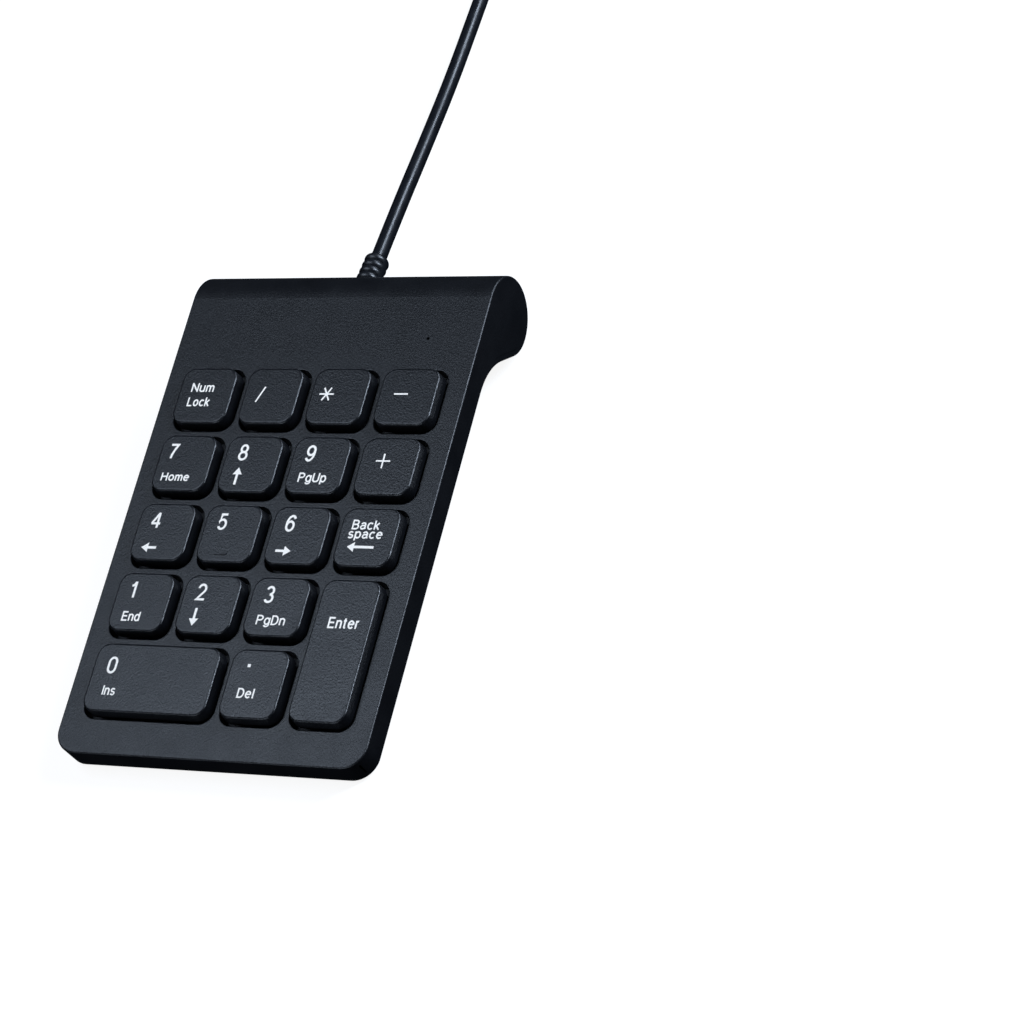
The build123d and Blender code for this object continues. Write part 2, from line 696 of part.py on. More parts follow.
def tube(route):
    radii = corner_radii(route)
    print("cable radii", [round(r) for r in radii])
    with BuildPart() as cable:
        with BuildLine() as path:
            FilletPolyline(*route, radius=radii)
        with BuildSketch(Plane(origin=route[0], z_dir=path.line % 0)):
            Circle(CABLE_R)
        sweep()
    section = pi * CABLE_R**2
    length = sum(edge.length for edge in path.line.edges())
    print("cable length", round(length, 1), "volume ratio", round(cable.part.volume / (section * length), 4))
    return cable.part


with BuildPart() as usb_cable:
    add(tube(lead_route))
    add(tube(tail_route))
finish(usb_cable, "usb_cable")

COIL_CENTRE = (COIL_ENTRY[0] - COIL_OUT_R, COIL_ENTRY[1])
COIL_HEIGHT = 4 * CABLE_R
coil_inner = COIL_IN_R - CABLE_R
coil_outer = COIL_OUT_R + CABLE_R
coil_middle = (COIL_IN_R + COIL_OUT_R) / 2
coil_plane = Plane(origin=(COIL_CENTRE[0], COIL_CENTRE[1], COIL_LIFT), x_dir=(1, 0, 0), z_dir=(0, -1, 0))
with BuildPart() as cable_coil:
    with BuildSketch(coil_plane):
        with Locations((coil_middle, COIL_HEIGHT / 2)):
            RectangleRounded(coil_outer - coil_inner, COIL_HEIGHT, CABLE_R * 0.95)
    revolve(axis=Axis(coil_plane.origin, (0, 0, 1)))
finish(cable_coil, "cable_coil")

TIE_T = 0.4
TIE_WIDTH = 4.0
tie_span = coil_outer - coil_inner + 0.9
tie_rise = COIL_HEIGHT + 0.06
tie_plane = Plane(
    origin=(COIL_CENTRE[0] - coil_middle, COIL_CENTRE[1], COIL_LIFT + COIL_HEIGHT / 2),
    x_dir=(1, 0, 0),
    z_dir=(0, -1, 0),
)
with BuildPart() as cable_tie:
    with BuildSketch(tie_plane):
        RectangleRounded(tie_span + 2 * TIE_T, tie_rise + 2 * TIE_T, 1.6)
        RectangleRounded(tie_span, tie_rise, 1.2, mode=Mode.SUBTRACT)
    extrude(amount=TIE_WIDTH / 2, both=True)
finish(cable_tie, "cable_tie")

# ---- USB plug ------------------------------------------------------------------------------------------
plug_start = Vector(*tail_route[-1])
plug_plane = Plane(origin=plug_start, x_dir=(1, 0, 0), z_dir=(0, 1, 0))
with BuildPart() as usb_plug_grip:
    with BuildSketch(plug_plane):
        Circle(2.6)
    with BuildSketch(plug_plane.offset(BOOT_LENGTH)):
        Circle(3.2)
    loft()
    with BuildSketch(plug_plane.offset(BOOT_LENGTH)):
        RectangleRounded(GRIP[0], GRIP[2], 2.4)
    extrude(amount=GRIP[1])
    grip_ends = usb_plug_grip.faces().filter_by(GeomType.PLANE).sort_by(Axis.Y)
    fillet(grip_ends[-1].edges(), 0.8)
finish(usb_plug_grip, "usb_plug_grip")

SHELL_T = 0.3
shell_plane = plug_plane.offset(BOOT_LENGTH + GRIP[1])
with BuildPart() as usb_plug_shell:
    with BuildSketch(shell_plane):
        RectangleRounded(SHELL[0], SHELL[2], 0.5)
        RectangleRounded(SHELL[0] - 2 * SHELL_T, SHELL[2] - 2 * SHELL_T, 0.25, mode=Mode.SUBTRACT)
    extrude(amount=SHELL[1])
    with BuildSketch(Plane(origin=(plug_start.X, shell_plane.origin.Y + 5.2, 0), z_dir=(0, 0, 1))):
        with Locations((-2.9, 0), (2.9, 0)):
            Rectangle(2.3, 2.2)
    extrude(amount=20, mode=Mode.SUBTRACT)
finish(usb_plug_shell, "usb_plug_shell")

TONGUE_T = 1.84
with BuildPart() as usb_plug_tongue:
    with BuildSketch(shell_plane):
        with Locations((0, -SHELL[2] / 2 + SHELL_T + TONGUE_T / 2)):
            RectangleRounded(SHELL[0] - 2 * SHELL_T, TONGUE_T, 0.3)
    extrude(amount=SHELL[1] - 0.5)
finish(usb_plug_tongue, "usb_plug_tongue")

for large in ("enter", "0"):
    print("stabiliser pivot", large, stabiliser_frame(large).from_local_coords(Vector(0, BAR_OFFSET, WIRE_PIVOT)))
print("dome foot height at v = 0:", deck_point(0, 0, FILM_TOP), "front feet", deck_point(0, FRONT_FEET[0][1], -PLATE))
print("roll y", roll_y, "plug mouth", shell_plane.offset(SHELL[1]).origin)
print("deck origin", DECK_Y, DECK_Z, "relief tip", tip_point, "coil centre", COIL_CENTRE)
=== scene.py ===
import json
from math import cos, pi, radians, sin

import bmesh
import bpy
from mathutils import Euler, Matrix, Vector
from mathutils.geometry import delaunay_2d_cdt


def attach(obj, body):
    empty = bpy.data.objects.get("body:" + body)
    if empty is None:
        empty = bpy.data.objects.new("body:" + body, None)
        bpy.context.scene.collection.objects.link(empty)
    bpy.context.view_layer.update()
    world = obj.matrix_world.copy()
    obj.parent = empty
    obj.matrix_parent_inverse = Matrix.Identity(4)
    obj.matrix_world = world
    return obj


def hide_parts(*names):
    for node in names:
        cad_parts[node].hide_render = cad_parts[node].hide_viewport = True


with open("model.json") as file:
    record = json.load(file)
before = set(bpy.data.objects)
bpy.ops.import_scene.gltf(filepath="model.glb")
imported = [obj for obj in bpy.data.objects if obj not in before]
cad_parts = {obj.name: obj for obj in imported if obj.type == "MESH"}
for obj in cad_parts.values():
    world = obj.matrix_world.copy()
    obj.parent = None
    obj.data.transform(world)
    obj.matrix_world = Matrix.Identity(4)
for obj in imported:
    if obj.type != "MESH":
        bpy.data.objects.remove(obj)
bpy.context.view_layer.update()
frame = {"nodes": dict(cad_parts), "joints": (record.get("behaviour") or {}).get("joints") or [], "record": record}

# A black USB numeric keypad on a white studio floor. Metres; +Z up, +X right, +Y to the rear.
# Deck coordinates (x, v, n): v runs up the deck's slope to the rear, n is normal to it.

MM = 0.001
scene = bpy.context.scene
record = frame["record"]
nodes = frame["nodes"]

# ---- deck frame, from the record's press axis -------------------------------------------
press_axis = next(j["axis"] for j in frame["joints"] if j["name"] == "press_5")
DECK_N = -Vector(press_axis).normalized()
DECK_X = Vector((1, 0, 0))
DECK_V = DECK_N.cross(DECK_X)


def deck_extent(node):
    """(x, v, n) ranges of a CAD node along the deck's own directions."""
    points = [v.co for v in nodes[node].data.vertices]
    ranges = []
    for axis in (DECK_X, DECK_V, DECK_N):
        along = [p.dot(axis) for p in points]
        ranges.append((min(along), max(along)))
    return ranges


# ---- camera -----------------------------------------------------------------------------
CAMERA_PLACE = (0.461801, -0.428805, 0.642928)
CAMERA_TURN = (37.9909, 21.7798, 17.5757)  # XYZ degrees
CAMERA_LENS = 129.797
SENSOR = 36.0

camera_data = bpy.data.cameras.new("camera")
camera_data.sensor_width = SENSOR
camera_data.lens = CAMERA_LENS
camera_data.clip_start = 0.01
camera_data.clip_end = 50
camera = bpy.data.objects.new("camera", camera_data)
camera.location = CAMERA_PLACE
camera.rotation_euler = Euler([radians(a) for a in CAMERA_TURN], "XYZ")
scene.collection.objects.link(camera)
scene.camera = camera

# ---- cable: one route from the strain relief through the coil to the plug -----------------
CABLE_D = 4.05 * MM
CABLE_R = CABLE_D / 2

# the same points as in part.py, in metres
LEAD = [
    (-0.0003, 0.07636, 0.01276),
    (-0.00115, 0.09336, 0.01126),
    (-0.00305, 0.11736, 0.0076),
    (-0.00535, 0.14236, 0.0036),
    (-0.0067, 0.16636, 0.002125),
    (-0.0071, 0.18736, 0.002025),
    (-0.0070, 0.2120, 0.002475),
]
TAIL = [
    (-0.0070, 0.2140, 0.006525),
    (-0.0068, 0.2230, 0.005925),
    (-0.0065, 0.2320, 0.0040),
    (-0.0065, 0.2410, 0.0040),
]
COIL_OUT_R = 8 * CABLE_D
COIL_IN_R = 2.7 * CABLE_D
COIL_CENTRE = Vector((-0.0070 - COIL_OUT_R, 0.2130, 0))
COIL_LOW_Z = 0.45 * MM + CABLE_R
LAYER_TURNS = 5
STEPS = 16  # points to a turn
PULL = (1 + cos(2 * pi / STEPS)) / 2  # the spline runs this much inside its points


def coil_points():
    """Five turns spiral in on the floor, and five more spiral out on top of them."""
    points = []
    climb = 0.4  # turns either side of the middle in which the cable changes layer
    for step in range(1, 2 * LAYER_TURNS * STEPS):
        turn = step / STEPS
        inward = 1 - abs(turn - LAYER_TURNS) / LAYER_TURNS
        radius = COIL_OUT_R + (COIL_IN_R - COIL_OUT_R) * inward
        rise = min(1, max(0, (turn - LAYER_TURNS + climb) / (2 * climb)))
        smooth = rise * rise * (3 - 2 * rise)
        angle = 2 * pi * turn
        points.append(
            (
                COIL_CENTRE.x + radius / PULL * cos(angle),
                COIL_CENTRE.y + radius / PULL * sin(angle),
                COIL_LOW_Z + CABLE_D * smooth,
            )
        )
    return points


def make_cable():
    route = LEAD + coil_points() + TAIL
    data = bpy.data.curves.new("cable", "CURVE")
    data.dimensions = "3D"
    # Blender counts a point's radius in metres when it works out the curve's box, so the radius
    # holds the cable's size and the bevel only multiplies it by one
    data.bevel_depth = 1.0
    data.bevel_resolution = 6
    data.resolution_u = 8
    data.use_fill_caps = True
    spline = data.splines.new("NURBS")
    spline.points.add(len(route) - 1)
    for point, place in zip(spline.points, route):
        point.co = (*place, 1)
        point.radius = CABLE_R
    spline.order_u = 3
    spline.use_endpoint_u = True
    cable = bpy.data.objects.new("cable", data)
    scene.collection.objects.link(cable)
    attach(cable, "case")
    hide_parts("usb_cable", "cable_coil")
    return cable


cable = make_cable()


# ---- stage: floor, sky and lights -----------------------------------------------------------
def make_floor():
    """A white floor that shows a faint contact shadow and throws no light back on the object."""
    half = 6.0
    mesh = bpy.data.meshes.new("floor")
    corners = [(-half, -half, 0), (half, -half, 0), (half, half, 0), (-half, half, 0)]
    mesh.from_pydata(corners, [], [(0, 1, 2, 3)])
    floor = bpy.data.objects.new("floor", mesh)
    scene.collection.objects.link(floor)
    floor.visible_diffuse = False
    floor.visible_glossy = False
    material = bpy.data.materials.new("floor_white")
    material.use_nodes = True
    tree = material.node_tree
    shader = tree.nodes["Principled BSDF"]
    shader.inputs["Base Color"].default_value = (0.2, 0.2, 0.2, 1)
    shader.inputs["Roughness"].default_value = 0.9
    shader.inputs["Specular IOR Level"].default_value = 0.0
    shader.inputs["Emission Color"].default_value = (1, 1, 1, 1)
    shader.inputs["Emission Strength"].default_value = 0.90
    mesh.materials.append(material)


def make_world():
    """Seen directly it is white; as a light it is a dim dome, dark below the horizon."""
    world = bpy.data.worlds.new("studio")
    scene.world = world
    world.use_nodes = True
    tree = world.node_tree
    tree.nodes.clear()
    out = tree.nodes.new("ShaderNodeOutputWorld")
    coords = tree.nodes.new("ShaderNodeTexCoord")
    split = tree.nodes.new("ShaderNodeSeparateXYZ")
    tree.links.new(coords.outputs["Generated"], split.inputs[0])
    ramp = tree.nodes.new("ShaderNodeValToRGB")
    ramp.color_ramp.elements[0].position = 0.0
    ramp.color_ramp.elements[0].color = (0.002, 0.002, 0.003, 1)
    ramp.color_ramp.elements[1].position = 0.25
    ramp.color_ramp.elements[1].color = (0.014, 0.016, 0.021, 1)
    tree.links.new(split.outputs["Z"], ramp.inputs[0])
    dome = tree.nodes.new("ShaderNodeBackground")
    tree.links.new(ramp.outputs[0], dome.inputs["Color"])
    white = tree.nodes.new("ShaderNodeBackground")
    white.inputs["Color"].default_value = (1, 1, 1, 1)
    path = tree.nodes.new("ShaderNodeLightPath")
    mix = tree.nodes.new("ShaderNodeMixShader")
    tree.links.new(path.outputs["Is Camera Ray"], mix.inputs[0])
    tree.links.new(dome.outputs[0], mix.inputs[1])
    tree.links.new(white.outputs[0], mix.inputs[2])
    tree.links.new(mix.outputs[0], out.inputs[0])


def area_light(name, place, target, size, watts, colour):
    data = bpy.data.lights.new(name, "AREA")
    data.shape = "RECTANGLE"
    data.size = size[0]
    data.size_y = size[1]
    data.energy = watts
    data.color = colour
    light = bpy.data.objects.new(name, data)
    light.location = place
    aim = Vector(target) - Vector(place)
    light.rotation_euler = aim.to_track_quat("-Z", "Y").to_euler()
    scene.collection.objects.link(light)


def make_lights():
    cool = (0.74, 0.86, 1.04)
    area_light("overhead_softbox", (-0.235, -0.035, 0.56), (0, 0, 0), (0.36, 0.34), 1.8, cool)
    area_light("right_strip", (0.60, 0.30, 0.45), (0, 0.03, 0), (0.16, 0.36), 7.5, cool)
    area_light("rear_strip", (0.31, 0.66, 0.38), (0, 0.12, 0), (0.14, 0.30), 2.3, cool)
    area_light("front_fill", (-0.1, -0.8, 0.10), (0, 0, 0), (0.6, 0.12), 2.0, cool)


make_floor()
make_world()
make_lights()
scene.view_settings.view_transform = "Standard"


# ---- materials ----------------------------------------------------------------------------
class Shader:
    """A Principled material and short ways to add procedural nodes to it."""

    def __init__(self, name):
        self.material = bpy.data.materials.new(name)
        self.material.use_nodes = True
        self.tree = self.material.node_tree
        self.bsdf = self.tree.nodes["Principled BSDF"]
        coords = self.tree.nodes.new("ShaderNodeTexCoord")
        self.place = coords.outputs["Object"]
        self.normal = None

    def set(self, **sockets):
        for name, value in sockets.items():
            self.bsdf.inputs[name.replace("_", " ")].default_value = value

    def noise(self, grain, detail=2.0, roughness=0.5, stretch=None):
        """Noise whose features are about grain metres across."""
        node = self.tree.nodes.new("ShaderNodeTexNoise")
        node.inputs["Scale"].default_value = 1 / grain
        node.inputs["Detail"].default_value = detail
        node.inputs["Roughness"].default_value = roughness
        source = self.place
        if stretch:
            mapping = self.tree.nodes.new("ShaderNodeMapping")
            mapping.inputs["Scale"].default_value = stretch
            self.tree.links.new(self.place, mapping.inputs["Vector"])
            source = mapping.outputs["Vector"]
        self.tree.links.new(source, node.inputs["Vector"])
        return node.outputs["Fac"]

    def cells(self, grain, feature="F1"):
        node = self.tree.nodes.new("ShaderNodeTexVoronoi")
        node.feature = feature
        node.inputs["Scale"].default_value = 1 / grain
        self.tree.links.new(self.place, node.inputs["Vector"])
        return node.outputs["Distance"]

    def span(self, value, low, high, from_low=0.3, from_high=0.7):
        """Maps a noise value to a range of numbers."""
        node = self.tree.nodes.new("ShaderNodeMapRange")
        node.inputs["From Min"].default_value = from_low
        node.inputs["From Max"].default_value = from_high
        node.inputs["To Min"].default_value = low
        node.inputs["To Max"].default_value = high
        self.tree.links.new(value, node.inputs["Value"])
        return node.outputs["Result"]

    def colours(self, value, *stops):
        """A colour ramp: stops are (position, (r, g, b))."""
        node = self.tree.nodes.new("ShaderNodeValToRGB")
        ramp = node.color_ramp
        while len(ramp.elements) < len(stops):
            ramp.elements.new(1.0)
        for element, (position, colour) in zip(ramp.elements, stops):
            element.position = position
            element.color = (*colour, 1)
        self.tree.links.new(value, node.inputs[0])
        return node.outputs["Color"]

    def add(self, a, b, factor=1.0):
        """a + factor * b."""
        node = self.tree.nodes.new("ShaderNodeMath")
        node.operation = "MULTIPLY_ADD"
        self.tree.links.new(b, node.inputs[0])
        node.inputs[1].default_value = factor
        self.tree.links.new(a, node.inputs[2])
        return node.outputs[0]

    def bump(self, height, distance, strength=1.0):
        node = self.tree.nodes.new("ShaderNodeBump")
        node.inputs["Distance"].default_value = distance
        node.inputs["Strength"].default_value = strength
        self.tree.links.new(height, node.inputs["Height"])
        if self.normal:
            self.tree.links.new(self.normal, node.inputs["Normal"])
        self.normal = node.outputs["Normal"]
        self.tree.links.new(self.normal, self.bsdf.inputs["Normal"])

    def link(self, value, socket):
        self.tree.links.new(value, self.bsdf.inputs[socket])


def scaled(colour, factor):
    return tuple(c * factor for c in colour)


def moulded_plastic(name, colour, rough, grain, depth, level=0.5, variation=0.12):
    """Spark-eroded matte plastic: a fine pitted grain, and faint cloudy changes of colour and gloss."""
    shader = Shader(name)
    fine = shader.noise(grain, detail=3.0, roughness=0.6)
    pits = shader.cells(grain * 1.6)
    cloud = shader.noise(9 * MM, detail=3.0)
    speckle = shader.add(cloud, fine, 0.6)
    low = scaled(colour, 1 - variation)
    high = scaled(colour, 1 + variation)
    shader.link(shader.colours(speckle, (0.45, low), (1.15, high)), "Base Color")
    shader.link(shader.span(speckle, rough - 0.05, rough + 0.05, 0.5, 1.1), "Roughness")
    shader.bump(shader.add(fine, pits, 0.5), depth)
    shader.set(Specular_IOR_Level=level)
    return shader.material


def soft_rubber(name, colour, rough, grain=0.12 * MM, depth=0.006 * MM, level=0.5):
    """Moulded PVC or rubber: satin, with a very fine skin."""
    shader = Shader(name)
    fine = shader.noise(grain, detail=2.0)
    cloud = shader.noise(5 * MM, detail=2.0)
    shader.link(shader.colours(cloud, (0.3, scaled(colour, 0.85)), (0.7, scaled(colour, 1.15))), "Base Color")
    shader.link(shader.span(cloud, rough - 0.04, rough + 0.05), "Roughness")
    shader.bump(fine, depth)
    shader.set(Specular_IOR_Level=level)
    return shader.material


def metal(name, colour, rough, stretch, grain=0.5 * MM):
    """Drawn or rolled steel with a thin bright plating: fine lines along the rolling direction."""
    shader = Shader(name)
    lines = shader.noise(grain, detail=4.0, roughness=0.7, stretch=stretch)
    stain = shader.noise(3 * MM, detail=3.0)
    shader.link(shader.colours(stain, (0.3, scaled(colour, 0.8)), (0.7, colour)), "Base Color")
    shader.link(shader.span(lines, rough - 0.08, rough + 0.12), "Roughness")
    shader.bump(lines, 0.003 * MM)
    shader.set(Metallic=1.0)
    return shader.material


def clear_moulding(name, colour, rough, alpha_like):
    """Translucent silicone, film or lens."""
    shader = Shader(name)
    cloud = shader.noise(2 * MM, detail=2.0)
    shader.link(shader.colours(cloud, (0.3, scaled(colour, 0.9)), (0.7, colour)), "Base Color")
    shader.link(shader.span(cloud, rough, rough + 0.1), "Roughness")
    shader.bump(cloud, 0.004 * MM)
    shader.set(Transmission_Weight=alpha_like, IOR=1.41)
    return shader.material


def solder_mask(name):
    """Green lacquer over copper tracks."""
    shader = Shader(name)
    tracks = shader.tree.nodes.new("ShaderNodeTexBrick")
    tracks.inputs["Scale"].default_value = 220
    tracks.inputs["Mortar Size"].default_value = 0.012
    tracks.inputs["Color1"].default_value = (0.006, 0.06, 0.022, 1)
    tracks.inputs["Color2"].default_value = (0.005, 0.05, 0.020, 1)
    tracks.inputs["Mortar"].default_value = (0.015, 0.14, 0.045, 1)
    shader.tree.links.new(shader.place, tracks.inputs["Vector"])
    shader.link(tracks.outputs["Color"], "Base Color")
    shader.bump(tracks.outputs["Fac"], 0.03 * MM)
    shader.set(Roughness=0.25)
    return shader.material


def printed_ink():
    """White pad-printed ink, a little uneven in cover."""
    shader = Shader("legend_ink")
    cover = shader.noise(0.25 * MM, detail=3.0)
    shader.link(shader.colours(cover, (0.25, (0.84, 0.77, 0.68)), (0.6, (0.98, 0.90, 0.80))), "Base Color")
    shader.bump(cover, 0.004 * MM)
    shader.set(Roughness=0.5)
    return shader.material


CASE_BLACK = (0.0028, 0.0032, 0.0043)
KEY_BLACK = (0.0030, 0.0034, 0.0045)
materials = {
    "case_plastic": moulded_plastic("case_plastic", CASE_BLACK, 0.42, 0.36 * MM, 0.060 * MM),
    "key_plastic": moulded_plastic("key_plastic", KEY_BLACK, 0.35, 0.36 * MM, 0.070 * MM),
    "inner_plastic": moulded_plastic("inner_plastic", (0.012, 0.012, 0.013), 0.55, 0.2 * MM, 0.01 * MM),
    "tie_plastic": moulded_plastic("tie_plastic", (0.012, 0.012, 0.014), 0.4, 0.3 * MM, 0.008 * MM),
    "tongue_plastic": moulded_plastic("tongue_plastic", (0.75, 0.75, 0.73), 0.4, 0.2 * MM, 0.004 * MM),
    "component": moulded_plastic("component", (0.02, 0.02, 0.02), 0.5, 0.15 * MM, 0.01 * MM),
    "plug_plastic": soft_rubber("plug_plastic", (0.012, 0.013, 0.016), 0.42),
    "relief_rubber": soft_rubber("relief_rubber", (0.0045, 0.0052, 0.0070), 0.36),
    "cable_jacket": soft_rubber("cable_jacket", (0.0060, 0.0068, 0.0088), 0.30),
    "foot_rubber": soft_rubber("foot_rubber", (0.02, 0.02, 0.02), 0.7),
    "lead_insulation": soft_rubber("lead_insulation", (0.30, 0.04, 0.03), 0.45),
    "silicone": clear_moulding("silicone", (0.80, 0.80, 0.78), 0.35, 0.3),
    "film": clear_moulding("film", (0.75, 0.78, 0.78), 0.15, 0.6),
    "led": clear_moulding("led", (0.75, 0.85, 0.75), 0.1, 0.7),
    "board": solder_mask("board"),
    "spring_steel": metal("spring_steel", (0.55, 0.55, 0.56), 0.28, (1, 1, 6)),
    "pressed_steel": metal("pressed_steel", (0.60, 0.60, 0.62), 0.35, (0.2, 1, 1)),
    "screw_steel": metal("screw_steel", (0.50, 0.50, 0.52), 0.35, (1, 1, 1)),
    "plug_steel": metal("plug_steel", (0.66, 0.66, 0.67), 0.22, (1, 0.15, 1)),
}
cable.data.materials.append(materials["cable_jacket"])

for subpart in record["subparts"]:
    mesh = nodes[subpart["node"]].data
    mesh.materials.clear()
    mesh.materials.append(materials[subpart["material_slot"]])


# ---- legends: strokes in a unit font, cut to thin slabs of ink ------------------------------
# A glyph is its width and a list of strokes. A stroke is a list of (x, y) points in units of the
# capital height. arc(centre x, centre y, radius x, radius y, from, to) gives the points of an arc,
# with its angles in degrees.
ARC_STEP = 12  # degrees


def arc(cx, cy, rx, ry, start, end):
    count = max(2, round(abs(end - start) / ARC_STEP))
    angles = [radians(start + (end - start) * i / count) for i in range(count + 1)]
    return [(cx + rx * cos(a), cy + ry * sin(a)) for a in angles]


def oval(cx, cy, rx, ry):
    return arc(cx, cy, rx, ry, 0, 360)


X_HEIGHT = 0.72
HALF = X_HEIGHT / 2
BOWL = 0.235
bowl = oval(BOWL, HALF, BOWL, HALF)
GLYPHS = {
    "0": (
        0.52,
        [arc(0.26, 0.68, 0.26, 0.32, 0, 180) + arc(0.26, 0.32, 0.26, 0.32, 180, 360) + [(0.52, 0.68)]],
    ),
    "1": (0.27, [[(0.0, 0.76), (0.14, 0.81), (0.25, 1.03)], [(0.27, 1.05), (0.27, -0.05)]]),
    "2": (0.53, [arc(0.265, 0.72, 0.245, 0.28, 172, -40) + [(0.02, 0.0), (0.58, 0.0)]]),
    "3": (0.52, [arc(0.255, 0.75, 0.225, 0.25, 160, -90), arc(0.255, 0.25, 0.26, 0.26, 90, -160)]),
    "4": (0.57, [[(0.42, -0.05), (0.42, 1.0)], [(0.42, 1.0), (0.0, 0.27)], [(-0.03, 0.26), (0.60, 0.26)]]),
    "5": (0.52, [[(0.50, 1.0), (0.11, 1.0), (0.05, 0.49)] + arc(0.255, 0.32, 0.26, 0.32, 144, -152)]),
    "6": (0.52, [oval(0.265, 0.31, 0.25, 0.31), arc(0.31, 0.46, 0.30, 0.54, 195, 42)]),
    "7": (0.50, [[(-0.02, 0.97), (0.50, 0.97), (0.32, 0.62), (0.20, 0.28), (0.16, 0.0)]]),
    "8": (0.52, [oval(0.26, 0.76, 0.215, 0.24), oval(0.26, 0.265, 0.26, 0.265)]),
    "9": (0.52, [oval(0.255, 0.69, 0.25, 0.31), arc(0.21, 0.54, 0.30, 0.54, 15, -138)]),
    "N": (0.58, [[(0.0, -0.06), (0.0, 1.06)], [(0.0, 1.0), (0.58, 0.0)], [(0.58, -0.06), (0.58, 1.06)]]),
    "L": (0.45, [[(0.0, 1.06), (0.0, 0.0), (0.5, 0.0)]]),
    "H": (0.58, [[(0.0, -0.06), (0.0, 1.06)], [(0.58, -0.06), (0.58, 1.06)], [(0.0, 0.53), (0.58, 0.53)]]),
    "P": (0.52, [[(0.0, -0.06), (0.0, 1.0)] + arc(0.29, 0.745, 0.235, 0.255, 90, -90) + [(0.0, 0.49)]]),
    "U": (0.56, [[(0.0, 1.06)] + arc(0.28, 0.28, 0.28, 0.28, 180, 360) + [(0.56, 1.06)]]),
    "E": (0.52, [[(0.53, 1.0), (0.0, 1.0), (0.0, 0.0), (0.56, 0.0)], [(0.0, 0.52), (0.50, 0.52)]]),
    "D": (0.56, [[(0.0, 0.5), (0.0, 1.0)] + arc(0.24, 0.5, 0.32, 0.5, 90, -90) + [(0.0, 0.0), (0.0, 0.5)]]),
    "B": (
        0.54,
        [
            [(0.0, 0.5), (0.0, 1.0)] + arc(0.29, 0.765, 0.21, 0.235, 90, -90) + [(0.0, 0.53)],
            [(0.0, 0.53)] + arc(0.30, 0.265, 0.24, 0.265, 90, -90) + [(0.0, 0.0), (0.0, 0.53)],
        ],
    ),
    "I": (0.0, [[(0.0, 1.06), (0.0, -0.06)]]),
    "a": (
        0.43,
        [
            arc(0.215, 0.50, 0.20, 0.22, 162, 0) + [(0.415, 0.12), (0.45, -0.03)],
            [(0.415, 0.43)] + arc(0.19, 0.205, 0.19, 0.205, 90, 280) + [(0.415, 0.14)],
        ],
    ),
    "c": (0.42, [arc(BOWL, HALF, BOWL, HALF, 42, 318)]),
    "d": (0.47, [bowl, [(0.47, 1.06), (0.47, -0.06)]]),
    "e": (0.47, [[(0.02, 0.39), (0.46, 0.39)], arc(BOWL, HALF, BOWL, HALF, 0, 320)]),
    "g": (0.47, [bowl, [(0.47, 0.78)] + arc(0.235, -0.04, 0.235, 0.23, 0, -160)]),
    "k": (0.40, [[(0.0, 1.06), (0.0, -0.06)], [(0.40, 0.75), (0.0, 0.29)], [(0.13, 0.42), (0.42, -0.05)]]),
    "l": (0.0, [[(0.0, 1.06), (0.0, -0.06)]]),
    "m": (
        0.68,
        [
            [(0.0, 0.78), (0.0, -0.06)],
            arc(0.17, 0.50, 0.17, 0.22, 180, 0) + [(0.34, -0.06)],
            arc(0.51, 0.50, 0.17, 0.22, 180, 0) + [(0.68, -0.06)],
        ],
    ),
    "n": (
        0.42,
        [[(0.0, 0.78), (0.0, -0.06)], arc(0.21, 0.49, 0.21, 0.23, 180, 0) + [(0.42, -0.06)]],
    ),
    "o": (0.47, [bowl]),
    "p": (0.47, [bowl, [(0.0, 0.78), (0.0, -0.32)]]),
    "r": (0.22, [[(0.0, 0.78), (0.0, -0.06)], arc(0.20, 0.48, 0.20, 0.24, 180, 85)]),
    "s": (0.39, [arc(0.195, 0.54, 0.175, 0.18, 25, 270) + arc(0.195, 0.18, 0.195, 0.18, 90, -158)]),
    "t": (0.24, [[(0.10, 0.98)] + arc(0.22, 0.12, 0.12, 0.12, 180, 275), [(-0.04, 0.72), (0.26, 0.72)]]),
    "u": (
        0.42,
        [
            [(0.0, 0.78)] + arc(0.21, 0.23, 0.21, 0.23, 180, 360) + [(0.42, 0.78)],
            [(0.42, 0.3), (0.42, -0.06)],
        ],
    ),
}
LETTER_GAP = 0.26


SAME_POINT = 1e-6
MITRE_FLOOR = 0.5  # keeps a sharp corner from reaching far out


def ribbon(stroke, half):
    """Quads of a stroke half wide to each side, with mitred corners."""
    points = [Vector(p) for p in stroke]
    points = [p for i, p in enumerate(points) if i == 0 or (p - points[i - 1]).length > SAME_POINT]
    closed = (points[0] - points[-1]).length < SAME_POINT
    if closed:
        points.pop()
    count = len(points)
    rims = []
    for i, point in enumerate(points):
        before = points[i - 1] if closed or i > 0 else point
        after = points[(i + 1) % count] if closed or i < count - 1 else point
        run_in = (point - before).normalized() if before != point else None
        run_out = (after - point).normalized() if after != point else None
        run_in = run_in or run_out
        run_out = run_out or run_in
        tangent = (run_in + run_out).normalized()
        normal = Vector((-tangent.y, tangent.x))
        miter = half / max(MITRE_FLOOR, normal.dot(Vector((-run_in.y, run_in.x))))
        rims.append((point + normal * miter, point - normal * miter))
    pairs = list(zip(rims, rims[1:]))
    if closed:
        pairs.append((rims[-1], rims[0]))
    return [(a[0], a[1], b[1], b[0]) for a, b in pairs]


